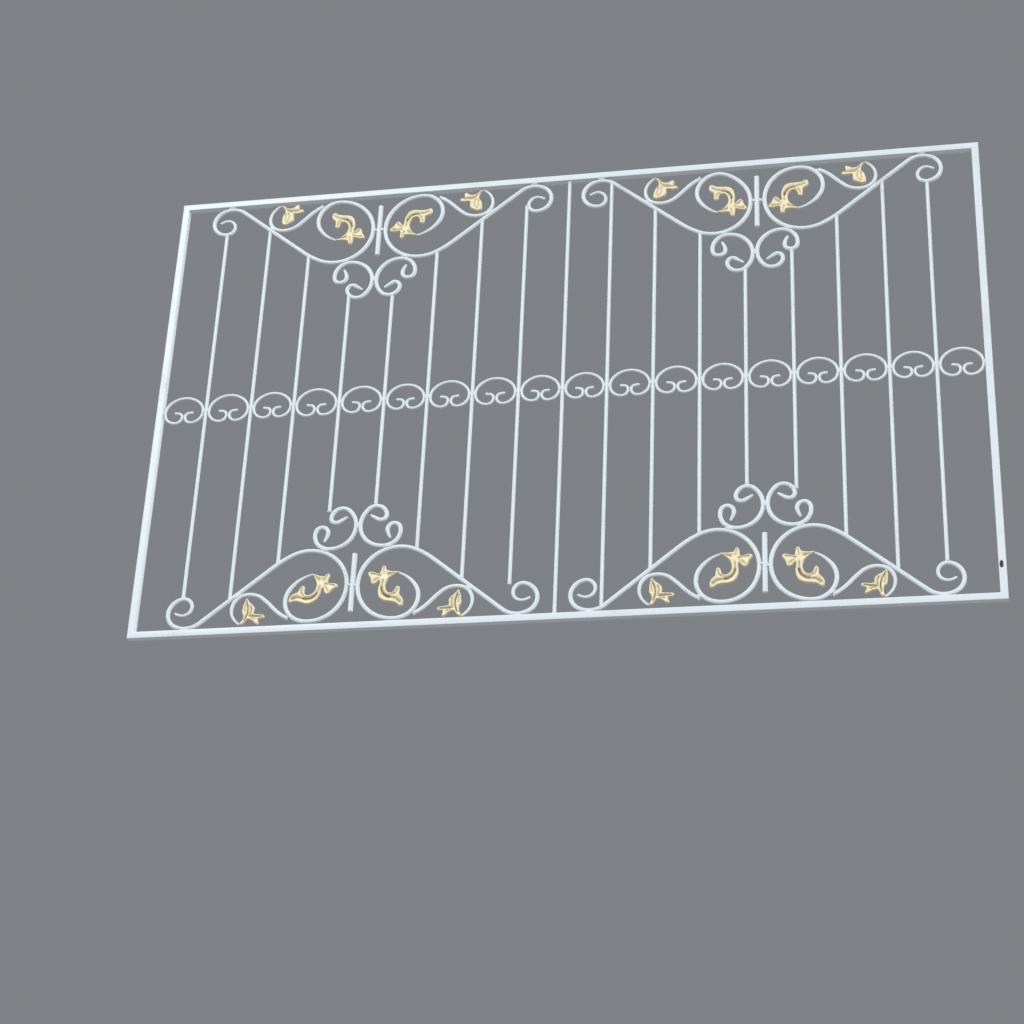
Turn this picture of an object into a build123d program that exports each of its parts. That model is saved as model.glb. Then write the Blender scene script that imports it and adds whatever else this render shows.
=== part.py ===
"""Wrought window grille that fills the opening above a balustrade.

A square-tube frame holds seventeen round bars, a band of eighteen C scrolls across the
middle, and four groups of larger scrolls with cast leaves: two under the top rail and two
above the bottom rail.  Sizes are in millimetres.  +X runs along the sill, +Y goes into the
building and +Z is up.  The origin is the middle of the flat face under the bottom rail, so
every piece lies on the plane Y = 0.
"""

import os
from collections import namedtuple
from math import cos, radians, sin
from types import SimpleNamespace

from build123d import *

# Frame of square tube
width = 2400.0
height = 1476.0
frame_size = 20.0
frame_wall = 1.5

# Upright bars; the smith set each one this far off an even spacing
bar_diameter = 10.0
bay_count = 18
bar_set_out = (-3, 2, 0, 5, 7, 3, 4, 7, 3, -1, -1, 0, -1, 2, 1, 3, 0)

# Clearance left between pieces that are welded to each other
weld_gap = 0.15

# Band of C scrolls, one in each bay, all centred on this share of the height
band_diameter = 8.0
band_height = height / 2

# Scroll groups: distance of each group's middle from the middle of the grille
group_offset = 568.0
scroll_diameter = 12.0
scroll_tip_diameter = 7.0
scroll_tail_diameter = 5.0
branch_diameter = 11.0
branch_tip_diameter = 6.0
curl_diameter = 12.0
curl_tip_diameter = 6.5

# Short upright between the two big loops of a group, and the weld that bridges to the loops
stay_diameter = 14.0
stay_length = 178.0
stay_depth = 36.0
bridge_diameter = 7.0

# Rough places of the branch scroll's leaf end and of the small scroll's upper end; each is
# then slid until it meets its neighbour
branch_foot = (306.0, 17.0)
curl_foot = 264.0

# Bars nearer than this to the middle of a group end on a small scroll
curl_reach = 110.0

# Cast leaves
leaf_thickness = 8.0
leaf_stem = 6.0

# Each scroll is a chain of bends that run into each other: (radius, turn in degrees), or
# (0, length) for a straight.  They are drawn from the middle of a group outwards (first
# coordinate) and from the rail towards the middle of the grille (second coordinate).
scroll_heading = 212.4
scroll_bends = (
    (76.5, -11.6), (25.7, -209.5), (45.0, -142.4), (63.1, -68.4), (0, 262.5),
    (247.7, 13.9), (113.6, 143.0), (95.8, 75.8), (65.4, 107.9), (97.7, 43.2),
)
narrow_scroll_bends = (
    (76.5, -11.6), (25.7, -209.5), (45.0, -142.4), (63.1, -68.4), (0, 262.5),
    (232.4, 13.9), (105.8, 156.9), (138.9, 20.0), (62.8, 149.8), (102.1, 43.2),
)
scroll_tip_bends = 2
scroll_tail_bends = 1
diagonal_bend = 4
first_loop_bend = 5
loop_bend = 8

branch_heading = 29.6
branch_bends = (
    (61.2, 21.4), (50.1, 63.9), (39.9, 46.6), (62.5, 59.1), (337.6, 7.1), (156.2, -19.7),
)
branch_tip_bends = 2

curl_heading = 127.0
curl_bends = (
    (57.3, -27.4), (18.5, -175.8), (45.0, -97.3), (69.1, -142.9), (31.1, -128.3),
    (15.6, -128.5), (0, 27.8),
)
curl_tip_bends = 1

# Half a C scroll of the band, from the middle of its top round to its end
band_bends = ((65.1, -42.6), (42.6, -51.1), (35.8, -77.6), (20.0, -103.4), (12.1, -77.5), (0, 14.1))

# Leaf outlines, from the stem round, as offsets from the rod end that carries the leaf; the
# small leaves of the upper groups came from another mould than those of the lower ones
big_leaf_outline = (
    (-8, -6), (-17.5, -14), (-25.5, -23.5), (-29.5, -33.5), (-30.5, -44.5), (-27, -54.5),
    (-20.5, -61), (-13, -63.5), (-6.5, -60.5), (-2.5, -54.5), (-0.5, -48), (2, -43.5), (6.5, -42),
    (10.5, -44.5), (12, -51), (12, -59), (12.5, -66), (17, -70.5), (22, -76), (26, -83.5),
    (27, -92.5), (24.5, -100.5), (19, -103), (13, -99.5), (7, -95), (-1, -93), (-12, -91),
    (-25, -90), (-35.5, -86), (-43, -78.5), (-47.5, -67), (-49.5, -55), (-49, -45),
    (-47.5, -35.5), (-49.5, -28), (-53.5, -31.5), (-58.5, -37.5), (-65, -40.5), (-71, -37.5),
    (-74, -30), (-76.5, -22), (-81, -15.5), (-84.5, -9.5), (-84, -4), (-78.5, -1), (-69, -2),
    (-59, -5.5), (-52.5, -6.5), (-50, -0.5), (-49, 7), (-48, 13.5), (-45, 18), (-40.5, 18.5),
    (-37, 15), (-35.5, 9), (-31.5, 5.5), (-24, 3.5), (-14, 2.5),
)
small_leaf_outlines = {
    "upper": (
        (-7, 1.5), (-13, 5.5), (-18, 11.5), (-24, 16.5), (-32, 19.5), (-40, 18.5), (-47, 14.5),
        (-53, 12.5), (-57.5, 15.5), (-58, 21.5), (-55, 27.5), (-56, 32), (-63, 33), (-67.5, 36.5),
        (-67.5, 42.5), (-61, 46), (-50, 46), (-39.5, 44.5), (-35, 47.5), (-35, 54.5), (-33, 62.5),
        (-27, 69.5), (-18, 74), (-8, 76.5), (-1, 75.5), (3, 70), (3.5, 61.5), (2, 52),
        (-0.5, 43.5), (-4, 37), (-9, 32), (-11.5, 26), (-11, 19), (-8, 12), (-3, 6),
    ),
    "lower": (
        (-7, 0), (-10.5, 6.5), (-14.5, 14.5), (-19, 19), (-26, 19.5), (-34, 17), (-41, 12.5),
        (-47, 10), (-51.5, 12), (-51.5, 17.5), (-47.5, 22.5), (-47.5, 27.5), (-53.5, 30),
        (-59.5, 32.5), (-61.5, 37.5), (-58.5, 42), (-51, 42.5), (-42, 41.5), (-33, 40.5),
        (-27, 42), (-26, 47.5), (-25.5, 54.5), (-21.5, 61), (-14, 66), (-6, 70.5), (0.5, 75.5),
        (5.5, 80), (9, 78), (9, 70.5), (10, 62.5), (9.5, 54.5), (8, 48), (8, 41.5), (5, 34.5),
        (0.5, 29.5), (-2.5, 23), (-3, 15.5), (-1, 8),
    ),
}

# No two half groups came out of the smith's hands alike.  drawn_in is how far the loop goes
# from scroll_bends to narrow_scroll_bends, tail_cut the degrees that the bend at the leaf
# lacks, and the leaves turn about their rod ends.
Half = namedtuple("Half", "drawn_in tail_cut big_leaf_turn small_leaf_turn")
half_shapes = {
    "upper_left_outer": Half(0.4, 2, -3, 12),
    "upper_left_inner": Half(0.4, -6, 12, 7),
    "upper_right_outer": Half(0.0, -5, 4, 3),
    "upper_right_inner": Half(1.0, 4, 0, -1),
    "lower_left_outer": Half(0.1, -4, 25, 15),
    "lower_left_inner": Half(0.25, 4, -5, 13),
    "lower_right_outer": Half(0.3, 5, 0, 0),
    "lower_right_inner": Half(0.0, -1, 3, 9),
}

# Shifts towards the right of a whole group, and of its stay and its small scrolls in it
Shift = namedtuple("Shift", "group stay curls")
group_shifts = {
    "upper_left": Shift(-6, 0, -3),
    "upper_right": Shift(0, -9, -16),
    "lower_left": Shift(0, 2, 5),
    "lower_right": Shift(0, 2, 5),
}

# Bars that stop beside a curl: bar number to depth below the rail, for each level
side_seats = {"upper": {4: 352.0, 8: 76.0}, "lower": {4: 352.0, 8: 96.0, 14: 345.0}}

# Places that follow from the sizes above
half_inside = width / 2 - frame_size
inside_height = height - 2 * frame_size
pitch = 2 * half_inside / bay_count
bar_x = [-half_inside + pitch * (k + 1) + off for k, off in enumerate(bar_set_out)]
levels = {"lower": -1, "upper": 1}
sides = {"left": -1, "right": 1}


def group_middle(group):
    """Distance of a group's middle from the middle of the grille, left being negative."""
    side = sides[group.split("_")[1]]
    return side * group_offset + group_shifts[group].group


def group_plane(group, hand):
    """Drawing plane of half a group: x away from the group's middle, y away from the rail."""
    level = levels[group.split("_")[0]]
    rail_z = height - frame_size if level > 0 else frame_size
    return Plane(
        origin=(group_middle(group), 0, rail_z),
        x_dir=(hand, 0, 0),
        z_dir=(0, hand * level, 0),
    )


def bent_path(plane, start, heading, bends):
    """Edges of a centreline that starts at a point of the plane and follows the bends."""
    point = plane.from_local_coords((start[0], start[1], 0))
    ahead = plane.from_local_coords(
        (start[0] + cos(radians(heading)), start[1] + sin(radians(heading)), 0)
    )
    direction = ahead - point
    edges = []
    with BuildLine(plane):
        for radius, amount in bends:
            if radius:
                edge = JernArc(point, direction, radius, amount)
            else:
                edge = Line(point, point + direction * amount)
            point, direction = edge @ 1, edge % 1
            edges.append(edge.edge())
    return edges


def add_rod(edges, start_diameter, end_diameter, mode=Mode.ADD):
    """Round rod along the edges, tapered where its two diameters differ."""
    path = Wire(edges)
    sections = []
    for position, diameter in ((0, start_diameter), (1, end_diameter)):
        section = Plane(origin=path @ position, x_dir=(0, 1, 0), z_dir=path % position)
        with BuildSketch(section) as disc:
            Circle(diameter / 2)
        sections.append(disc.sketch)
    if start_diameter == end_diameter:
        sweep(sections=sections[0], path=path, mode=mode)
    else:
        sweep(sections=sections, path=path, multisection=True, mode=mode)


def add_scroll(half, spread=0.0, mode=Mode.ADD):
    """Large S scroll: thin at the free end of its curl and at its leaf."""
    edges = bent_path(half.plane, half.scroll_start, scroll_heading, half.scroll_bends)
    full = scroll_diameter + spread
    tip, tail = scroll_tip_bends, len(edges) - scroll_tail_bends
    add_rod(edges[tip:tail], full, full, mode)
    add_rod(edges[:tip], scroll_tip_diameter + spread, full, mode)
    add_rod(edges[tail:], full, scroll_tail_diameter + spread, mode)


def add_branch(half):
    """Branch scroll: thin at the end that carries the small leaf."""
    edges = bent_path(half.plane, half.branch_start, branch_heading, branch_bends)
    add_rod(edges[branch_tip_bends:], branch_diameter, branch_diameter)
    add_rod(edges[:branch_tip_bends], branch_tip_diameter, branch_diameter)


def add_curl(half, spread=0.0, mode=Mode.ADD):
    """Small scroll with a curl at each end, both of them drawn out thin."""
    edges = bent_path(half.plane, half.curl_start, curl_heading, curl_bends)
    full = curl_diameter + spread
    tip, tail = curl_tip_bends, len(edges) - curl_tip_bends
    add_rod(edges[tip:tail], full, full, mode)
    add_rod(edges[:tip], curl_tip_diameter + spread, full, mode)
    add_rod(edges[tail:], full, curl_tip_diameter + spread, mode)


def add_leaf(plane, end, heading, outline, turn):
    """Cast leaf, turned about the end of a rod that runs out in the given heading."""
    ahead = (cos(radians(heading)), sin(radians(heading)))
    base = (end[0] + ahead[0] * weld_gap, end[1] + ahead[1] * weld_gap)
    half = leaf_stem / 2
    c, s = cos(radians(turn)), sin(radians(turn))
    points = [(base[0] - ahead[1] * half, base[1] + ahead[0] * half)]
    points += [(end[0] + c * a - s * b, end[1] + s * a + c * b) for a, b in outline]
    points += [(base[0] + ahead[1] * half, base[1] - ahead[0] * half)]
    with BuildSketch(plane) as leaf:
        Polygon(*points, align=None)
    extrude(leaf.sketch, amount=leaf_thickness / 2, both=True)


def add_member(corners, void_corner, void_opposite):
    """Frame member: four corners seen from the front, and the box that hollows it."""
    with BuildSketch(Plane.XZ) as face:
        Polygon(*corners, align=None)
    extrude(face.sketch, amount=frame_size / 2, both=True)
    low = Vector(void_corner[0], frame_wall - frame_size / 2, void_corner[1])
    size = Vector(void_opposite[0], frame_size / 2 - frame_wall, void_opposite[1]) - low
    with Locations(low + size / 2):
        Box(size.X, size.Y, size.Z, mode=Mode.SUBTRACT)


def keep(piece, name):
    """Label a finished piece and write its file."""
    piece.part.label = name
    export_step(piece.part, "parts/" + name + ".step")


def touching(start, heading, bends, neighbour, direction, spacing):
    """Start of a path slid along direction until it just clears its neighbour by spacing."""
    near, far = -pitch / 3, pitch / 3
    while far - near > weld_gap / 10:
        step = (near + far) / 2
        trial = (start[0] + direction[0] * step, start[1] + direction[1] * step)
        path = Wire(bent_path(Plane.XY, trial, heading, bends))
        if path.distance_to(neighbour) > spacing:
            far = step
        else:
            near = step
    return (start[0] + direction[0] * far, start[1] + direction[1] * far)


def crossing_depth(edges, offset):
    """Greatest depth at which a centreline crosses a distance from the group's middle."""
    depths = []
    for edge in edges:
        points = [edge @ (k / 40) for k in range(41)]
        for a, b in zip(points, points[1:]):
            if (a.X - offset) * (b.X - offset) <= 0 and a.X != b.X:
                depths.append(a.Y + (b.Y - a.Y) * (offset - a.X) / (b.X - a.X))
    return max(depths)


def set_out(group, hand_name):
    """Centrelines and seats of half a group, in its drawing plane."""
    shape, shift = half_shapes[group + "_" + hand_name], group_shifts[group]
    side = sides[group.split("_")[1]]
    hand = side if hand_name == "outer" else -side
    half = SimpleNamespace(shape=shape, hand=hand, plane=group_plane(group, hand))

    # The rail end of the S scroll stays put where its loop is drawn in
    bends = [
        (a[0] + (b[0] - a[0]) * shape.drawn_in, a[1] + (b[1] - a[1]) * shape.drawn_in)
        for a, b in zip(scroll_bends, narrow_scroll_bends)
    ]
    bends[-1] = (bends[-1][0], bends[-1][1] - shape.tail_cut)
    half.scroll_bends, half.scroll_start = bends, scroll_start
    half.scroll_edges = bent_path(Plane.XY, scroll_start, scroll_heading, bends)
    half.leaf_end = half.scroll_edges[-1] @ 1
    half.leaf_heading = scroll_heading + sum(turn for radius, turn in bends if radius)
    rounds = [edge @ (k / 40) for edge in half.scroll_edges[first_loop_bend:] for k in range(41)]
    half.loop_side = min(rounds, key=lambda point: point.X)

    # The branch scroll lies against the diagonal and its blunt end against the loop
    diagonal, loop = half.scroll_edges[diagonal_bend], half.scroll_edges[loop_bend]
    along = ((diagonal % 0).X, (diagonal % 0).Y)
    spacing = (scroll_diameter + branch_diameter) / 2 + weld_gap
    half.branch_start = touching(
        branch_foot, branch_heading, branch_bends, diagonal, (-along[1], along[0]), spacing,
    )
    half.branch_start = touching(
        half.branch_start, branch_heading, branch_bends, loop, (-along[0], -along[1]), spacing,
    )

    # The small scrolls of a group lie back to back and against its loops
    beside = curl_diameter / 2 + weld_gap - loose_curl.min.X + shift.curls * hand
    half.curl_start = touching(
        (beside, curl_foot), curl_heading, curl_bends, Wire(half.scroll_edges), (0, 1),
        (scroll_diameter + curl_diameter) / 2 + weld_gap,
    )
    half.curl_edges = bent_path(Plane.XY, half.curl_start, curl_heading, curl_bends)
    return half


# The S scroll hangs against the rail, and a loop that isn't drawn in reaches the stay
loose_scroll = Wire(bent_path(Plane.XY, (0, 0), scroll_heading, scroll_bends)).bounding_box()
loose_curl = Wire(bent_path(Plane.XY, (0, 0), curl_heading, curl_bends)).bounding_box()
scroll_start = (
    stay_diameter / 2 + scroll_diameter / 2 + weld_gap - loose_scroll.min.X,
    scroll_diameter / 2 + weld_gap - loose_scroll.min.Y,
)
halves = {
    level_name + "_" + side_name: {
        hand_name: set_out(level_name + "_" + side_name, hand_name)
        for hand_name in ("outer", "inner")
    }
    for level_name in levels for side_name in sides
}

os.makedirs("parts", exist_ok=True)

# Frame: the stiles run full height, the rails are mitred between them
inner = frame_size - frame_wall
for name, side in sides.items():
    outer_x, inner_x = side * width / 2, side * half_inside
    corners = ((outer_x, 0), (outer_x, height), (inner_x, height - frame_size), (inner_x, frame_size))
    void_x = sorted((side * (width / 2 - frame_wall), side * (width / 2 - inner)))
    with BuildPart() as stile:
        add_member(corners, (void_x[0], 0), (void_x[1], height))
    keep(stile, name + "_stile")

for name, level in (("bottom", 0), ("top", 1)):
    outer_z, inner_z = level * height, frame_size + level * (height - 2 * frame_size)
    outer_x, inner_x = width / 2 - weld_gap, half_inside - weld_gap
    corners = ((-outer_x, outer_z), (outer_x, outer_z), (inner_x, inner_z), (-inner_x, inner_z))
    void_z = sorted((abs(outer_z - frame_wall), abs(outer_z - inner)))
    with BuildPart() as rail:
        add_member(corners, (-outer_x, void_z[0]), (outer_x, void_z[1]))
    keep(rail, name + "_rail")

# Four scroll groups
for group, pair in halves.items():
    for hand_name, half in pair.items():
        with BuildPart() as scroll:
            add_scroll(half)
        keep(scroll, group + "_" + hand_name + "_scroll")

    with BuildPart() as branches:
        for half in pair.values():
            add_branch(half)
    keep(branches, group + "_branch_scrolls")

    with BuildPart() as curls:
        for half in pair.values():
            add_curl(half)
    keep(curls, group + "_small_scrolls")

    with BuildPart() as leaves:
        for half in pair.values():
            add_leaf(
                half.plane, (half.leaf_end.X, half.leaf_end.Y), half.leaf_heading,
                big_leaf_outline, half.shape.big_leaf_turn,
            )
            add_leaf(
                half.plane, half.branch_start, branch_heading + 180,
                small_leaf_outlines[group.split("_")[0]], half.shape.small_leaf_turn,
            )
    keep(leaves, group + "_leaves")

# Short uprights between the big loops, each with the weld that bridges to both of them
with BuildPart() as stays:
    for group, pair in halves.items():
        level, middle_x = levels[group.split("_")[0]], group_middle(group)
        middle_z = height / 2 + level * (inside_height / 2 - stay_depth - stay_length / 2)
        with Locations((middle_x + group_shifts[group].stay, 0, middle_z)):
            Cylinder(stay_diameter / 2, stay_length)
        sides_z = [half.plane.from_local_coords(half.loop_side).Z for half in pair.values()]
        reach = {
            half.hand: half.loop_side.X - scroll_diameter / 2 - weld_gap for half in pair.values()
        }
        bridge_x = middle_x + (reach[1] - reach[-1]) / 2
        with Locations((bridge_x, 0, sum(sides_z) / 2)):
            Cylinder(bridge_diameter / 2, reach[1] + reach[-1], rotation=(0, 90, 0))
keep(stays, "loop_stays")

# Upright bars, each cut at its ends to the scroll it is welded to; the middle one alone
# reaches both rails
for number, x in enumerate(bar_x, start=1):
    side_name = "right" if x > 0 else "left"
    beside, ends = {}, {}
    for level_name in levels:
        group = level_name + "_" + side_name
        offset = x - group_middle(group)
        half = next(half for half in halves[group].values() if half.hand * offset > 0)
        by_curl = abs(offset) < curl_reach
        beside[level_name] = (half, by_curl)
        if number == bay_count / 2:
            ends[level_name] = weld_gap
        elif number in side_seats[level_name]:
            ends[level_name] = side_seats[level_name][number]
        else:
            edges = half.scroll_edges + half.curl_edges * by_curl
            ends[level_name] = crossing_depth(edges, abs(offset))
    low_z = frame_size + ends["lower"]
    high_z = height - frame_size - ends["upper"]
    with BuildPart() as bar:
        with Locations((x, 0, (low_z + high_z) / 2)):
            Cylinder(bar_diameter / 2, high_z - low_z)
        for half, by_curl in beside.values():
            add_scroll(half, 2 * weld_gap, Mode.SUBTRACT)
            if by_curl:
                add_curl(half, 2 * weld_gap, Mode.SUBTRACT)
    keep(bar, "bar_" + str(number).zfill(2))

# Band of C scrolls, each drawn to fill its bay
bay_edges = [-half_inside - bar_diameter / 2] + bar_x + [half_inside + bar_diameter / 2]
band_heading = -sum(turn for radius, turn in band_bends if radius)
band_path = band_bends[::-1] + band_bends
loose = Wire(bent_path(Plane.XY, (0, 0), band_heading, band_path)).bounding_box()
half_bays = {"left": range(bay_count // 2), "right": range(bay_count // 2, bay_count)}
for side_name, bays in half_bays.items():
    with BuildPart() as band:
        for bay in bays:
            middle_x = (bay_edges[bay] + bay_edges[bay + 1]) / 2
            clear = bay_edges[bay + 1] - bay_edges[bay] - bar_diameter - 2 * weld_gap
            grow = (clear - band_diameter) / loose.size.X
            bends = [(r * grow, t) if r else (0, t * grow) for r, t in band_path]
            start = (
                middle_x - loose.center().X * grow,
                band_height - loose.center().Y * grow,
            )
            edges = bent_path(Plane.XZ, start, band_heading, bends)
            add_rod(edges, band_diameter, band_diameter)
    keep(band, side_name + "_band_scrolls")
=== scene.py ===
"""Looks for the scrolled window grille: forged rods, cast leaves, weld beads, paint and studio."""

import math
from collections import Counter

import bmesh
import bpy
import numpy as np
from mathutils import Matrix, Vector


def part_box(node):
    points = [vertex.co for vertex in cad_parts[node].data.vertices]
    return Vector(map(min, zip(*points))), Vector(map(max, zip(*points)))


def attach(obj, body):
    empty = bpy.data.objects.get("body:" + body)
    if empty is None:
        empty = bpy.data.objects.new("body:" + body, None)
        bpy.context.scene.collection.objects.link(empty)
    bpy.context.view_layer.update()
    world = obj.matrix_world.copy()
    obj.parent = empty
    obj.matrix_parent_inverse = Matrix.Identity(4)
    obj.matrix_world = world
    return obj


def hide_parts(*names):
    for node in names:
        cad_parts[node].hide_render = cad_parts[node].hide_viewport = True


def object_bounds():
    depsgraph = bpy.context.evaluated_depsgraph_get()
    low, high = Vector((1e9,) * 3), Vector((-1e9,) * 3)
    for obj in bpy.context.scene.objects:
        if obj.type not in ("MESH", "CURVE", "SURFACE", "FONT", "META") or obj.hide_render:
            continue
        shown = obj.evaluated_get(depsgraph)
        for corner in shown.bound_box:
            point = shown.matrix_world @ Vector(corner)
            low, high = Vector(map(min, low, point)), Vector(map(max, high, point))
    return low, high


bl_info = {
    "name": "Scrolled Window Grille",
    "version": (1, 0, 0),
    "blender": (4, 5, 0),
    "location": "View3D > Sidebar > Grille",
    "description": "Dresses a welded window grille with forged scrolls, cast leaves and paint",
    "category": "Object",
}

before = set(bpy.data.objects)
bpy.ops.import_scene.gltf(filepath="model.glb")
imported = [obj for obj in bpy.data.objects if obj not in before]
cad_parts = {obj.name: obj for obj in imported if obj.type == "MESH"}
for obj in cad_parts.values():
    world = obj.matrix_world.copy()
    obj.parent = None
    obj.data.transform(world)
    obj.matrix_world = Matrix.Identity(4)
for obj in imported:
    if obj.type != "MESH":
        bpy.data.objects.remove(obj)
cad_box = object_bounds()
MM = 0.001

LEVELS = {"lower": -1, "upper": 1}
SIDES = {"left": -1, "right": 1}
BARS = [f"bar_{number:02d}" for number in range(1, 18)]

# Chains of bends, each (radius in mm, turn in degrees), or (0, length) for a straight. They
# run in the plane of the grille: out from a group's middle, and away from the rail.
SCROLL_HEADING = 212.4
SCROLL_BENDS = (
    (76.5, -11.6), (25.7, -209.5), (45.0, -142.4), (63.1, -68.4), (0, 262.5),
    (247.7, 13.9), (113.6, 143.0), (95.8, 75.8), (65.4, 107.9), (97.7, 43.2),
)
NARROW_SCROLL_BENDS = SCROLL_BENDS[:5] + (
    (232.4, 13.9), (105.8, 156.9), (138.9, 20.0), (62.8, 149.8), (102.1, 43.2),
)
BRANCH_HEADING = 29.6
BRANCH_BENDS = (
    (61.2, 21.4), (50.1, 63.9), (39.9, 46.6), (62.5, 59.1), (337.6, 7.1), (156.2, -19.7),
)
CURL_HEADING = 127.0
CURL_BENDS = (
    (57.3, -27.4), (18.5, -175.8), (45.0, -97.3), (69.1, -142.9), (31.1, -128.3),
    (15.6, -128.5), (0, 27.8),
)
BAND_BENDS = (
    (65.1, -42.6), (42.6, -51.1), (35.8, -77.6), (20.0, -103.4), (12.1, -77.5), (0, 14.1),
)

# How each half group came out: share of the narrow loop, degrees cut from the bend at the
# leaf, and turns of the large and the small leaf about their rod ends
HALVES = {
    "upper_left_outer": (0.4, 2, -3, 12),
    "upper_left_inner": (0.4, -6, 12, 7),
    "upper_right_outer": (0.0, -5, 4, 3),
    "upper_right_inner": (1.0, 4, 0, -1),
    "lower_left_outer": (0.1, -4, 25, 15),
    "lower_left_inner": (0.25, 4, -5, 13),
    "lower_right_outer": (0.3, 5, 0, 0),
    "lower_right_inner": (0.0, -1, 3, 9),
}

# Points of a scroll's run that belong to its curl by the rail
ROUND_POINTS = 60

# How far each stay stands to the right of its group's middle
STAY_SHIFTS = {
    "upper_left": 0.0, "upper_right": -9 * MM, "lower_left": 2 * MM, "lower_right": 2 * MM}
STAY_RADIUS = 7 * MM

# Width of the slit that the solids leave between two welded pieces
WELD_GAP = 0.15 * MM

# Outlines of the castings, as offsets in mm from the rod end that carries them; the small
# leaves of the upper groups came from another mould
BIG_LEAF = (
    (-8, -6), (-17.5, -14), (-25.5, -23.5), (-29.5, -33.5), (-30.5, -44.5), (-27, -54.5),
    (-20.5, -61), (-13, -63.5), (-6.5, -60.5), (-2.5, -54.5), (-0.5, -48), (2, -43.5), (6.5, -42),
    (10.5, -44.5), (12, -51), (12, -59), (12.5, -66), (17, -70.5), (22, -76), (26, -83.5),
    (27, -92.5), (24.5, -100.5), (19, -103), (13, -99.5), (7, -95), (-1, -93), (-12, -91),
    (-25, -90), (-35.5, -86), (-43, -78.5), (-47.5, -67), (-49.5, -55), (-49, -45),
    (-47.5, -35.5), (-49.5, -28), (-53.5, -31.5), (-58.5, -37.5), (-65, -40.5), (-71, -37.5),
    (-74, -30), (-76.5, -22), (-81, -15.5), (-84.5, -9.5), (-84, -4), (-78.5, -1), (-69, -2),
    (-59, -5.5), (-52.5, -6.5), (-50, -0.5), (-49, 7), (-48, 13.5), (-45, 18), (-40.5, 18.5),
    (-37, 15), (-35.5, 9), (-31.5, 5.5), (-24, 3.5), (-14, 2.5),
)
SMALL_LEAVES = {
    1: (
        (-7, 1.5), (-13, 5.5), (-18, 11.5), (-24, 16.5), (-32, 19.5), (-40, 18.5), (-47, 14.5),
        (-53, 12.5), (-57.5, 15.5), (-58, 21.5), (-55, 27.5), (-56, 32), (-63, 33), (-67.5, 36.5),
        (-67.5, 42.5), (-61, 46), (-50, 46), (-39.5, 44.5), (-35, 47.5), (-35, 54.5), (-33, 62.5),
        (-27, 69.5), (-18, 74), (-8, 76.5), (-1, 75.5), (3, 70), (3.5, 61.5), (2, 52),
        (-0.5, 43.5), (-4, 37), (-9, 32), (-11.5, 26), (-11, 19), (-8, 12), (-3, 6),
    ),
    -1: (
        (-7, 0), (-10.5, 6.5), (-14.5, 14.5), (-19, 19), (-26, 19.5), (-34, 17), (-41, 12.5),
        (-47, 10), (-51.5, 12), (-51.5, 17.5), (-47.5, 22.5), (-47.5, 27.5), (-53.5, 30),
        (-59.5, 32.5), (-61.5, 37.5), (-58.5, 42), (-51, 42.5), (-42, 41.5), (-33, 40.5),
        (-27, 42), (-26, 47.5), (-25.5, 54.5), (-21.5, 61), (-14, 66), (-6, 70.5), (0.5, 75.5),
        (5.5, 80), (9, 78), (9, 70.5), (10, 62.5), (9.5, 54.5), (8, 48), (8, 41.5), (5, 34.5),
        (0.5, 29.5), (-2.5, 23), (-3, 15.5), (-1, 8),
    ),
}

# Creases cut into the faces of the castings: width in mm, how dark their painted shade is, then
# the line
BIG_LEAF_CREASES = (
    (1.6, 0.5, (
        (-39, -28), (-40, -41), (-39, -53), (-34, -65), (-24, -74), (-10, -77), (5, -80),
        (18, -90))),
    (3.0, 0.9, ((-40, -48), (-38, -57), (-32, -67), (-22, -74), (-13, -76))),
    (1.5, 0.4, ((-49, -14), (-60, -10), (-75, -8))),
    (1.4, 0.35, ((-52, -21), (-62, -27), (-67, -32))),
    (1.5, 0.35, ((-39, -6), (-42, 10))),
    (1.6, 0.45, ((-27, -9), (-17, -6), (-10, -3))),
    (1.5, 0.5, ((-8, -69), (2, -63), (6, -53))),
)
SMALL_LEAF_CREASES = {
    1: (
        (1.5, 0.45, ((-30, 33), (-45, 33), (-56, 36))),
        (1.6, 0.35, ((-20, 37), (-22, 48), (-18, 60), (-9, 67))),
        (1.5, 0.3, ((-10, 40), (-10, 50), (-7, 60))),
        (1.8, 0.5, ((-15, 15), (-22, 26), (-29, 32))),
    ),
    -1: (
        (1.8, 0.75, ((-8, 14), (-10, 24), (-10.5, 37), (-7, 51), (0, 64), (4, 71))),
        (1.6, 0.6, ((-18, 36), (-19, 47), (-15, 56))),
        (1.6, 0.7, ((-18, 31), (-31, 32), (-45, 35), (-54, 37))),
        (1.4, 0.5, ((0, 41), (3, 53), (5, 61))),
        (1.6, 0.5, ((-24, 27), (-37, 24))),
    ),
}


# Settings that a user would change

def length(name, description, default, least):
    """Setting for a length."""
    return bpy.props.FloatProperty(
        name=name, description=description, default=default, min=least,
        unit="LENGTH", subtype="DISTANCE")


def tint(name, description, default):
    """Setting for a colour."""
    return bpy.props.FloatVectorProperty(
        name=name, description=description, default=default, size=3, min=0, max=1,
        subtype="COLOR")


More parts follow.
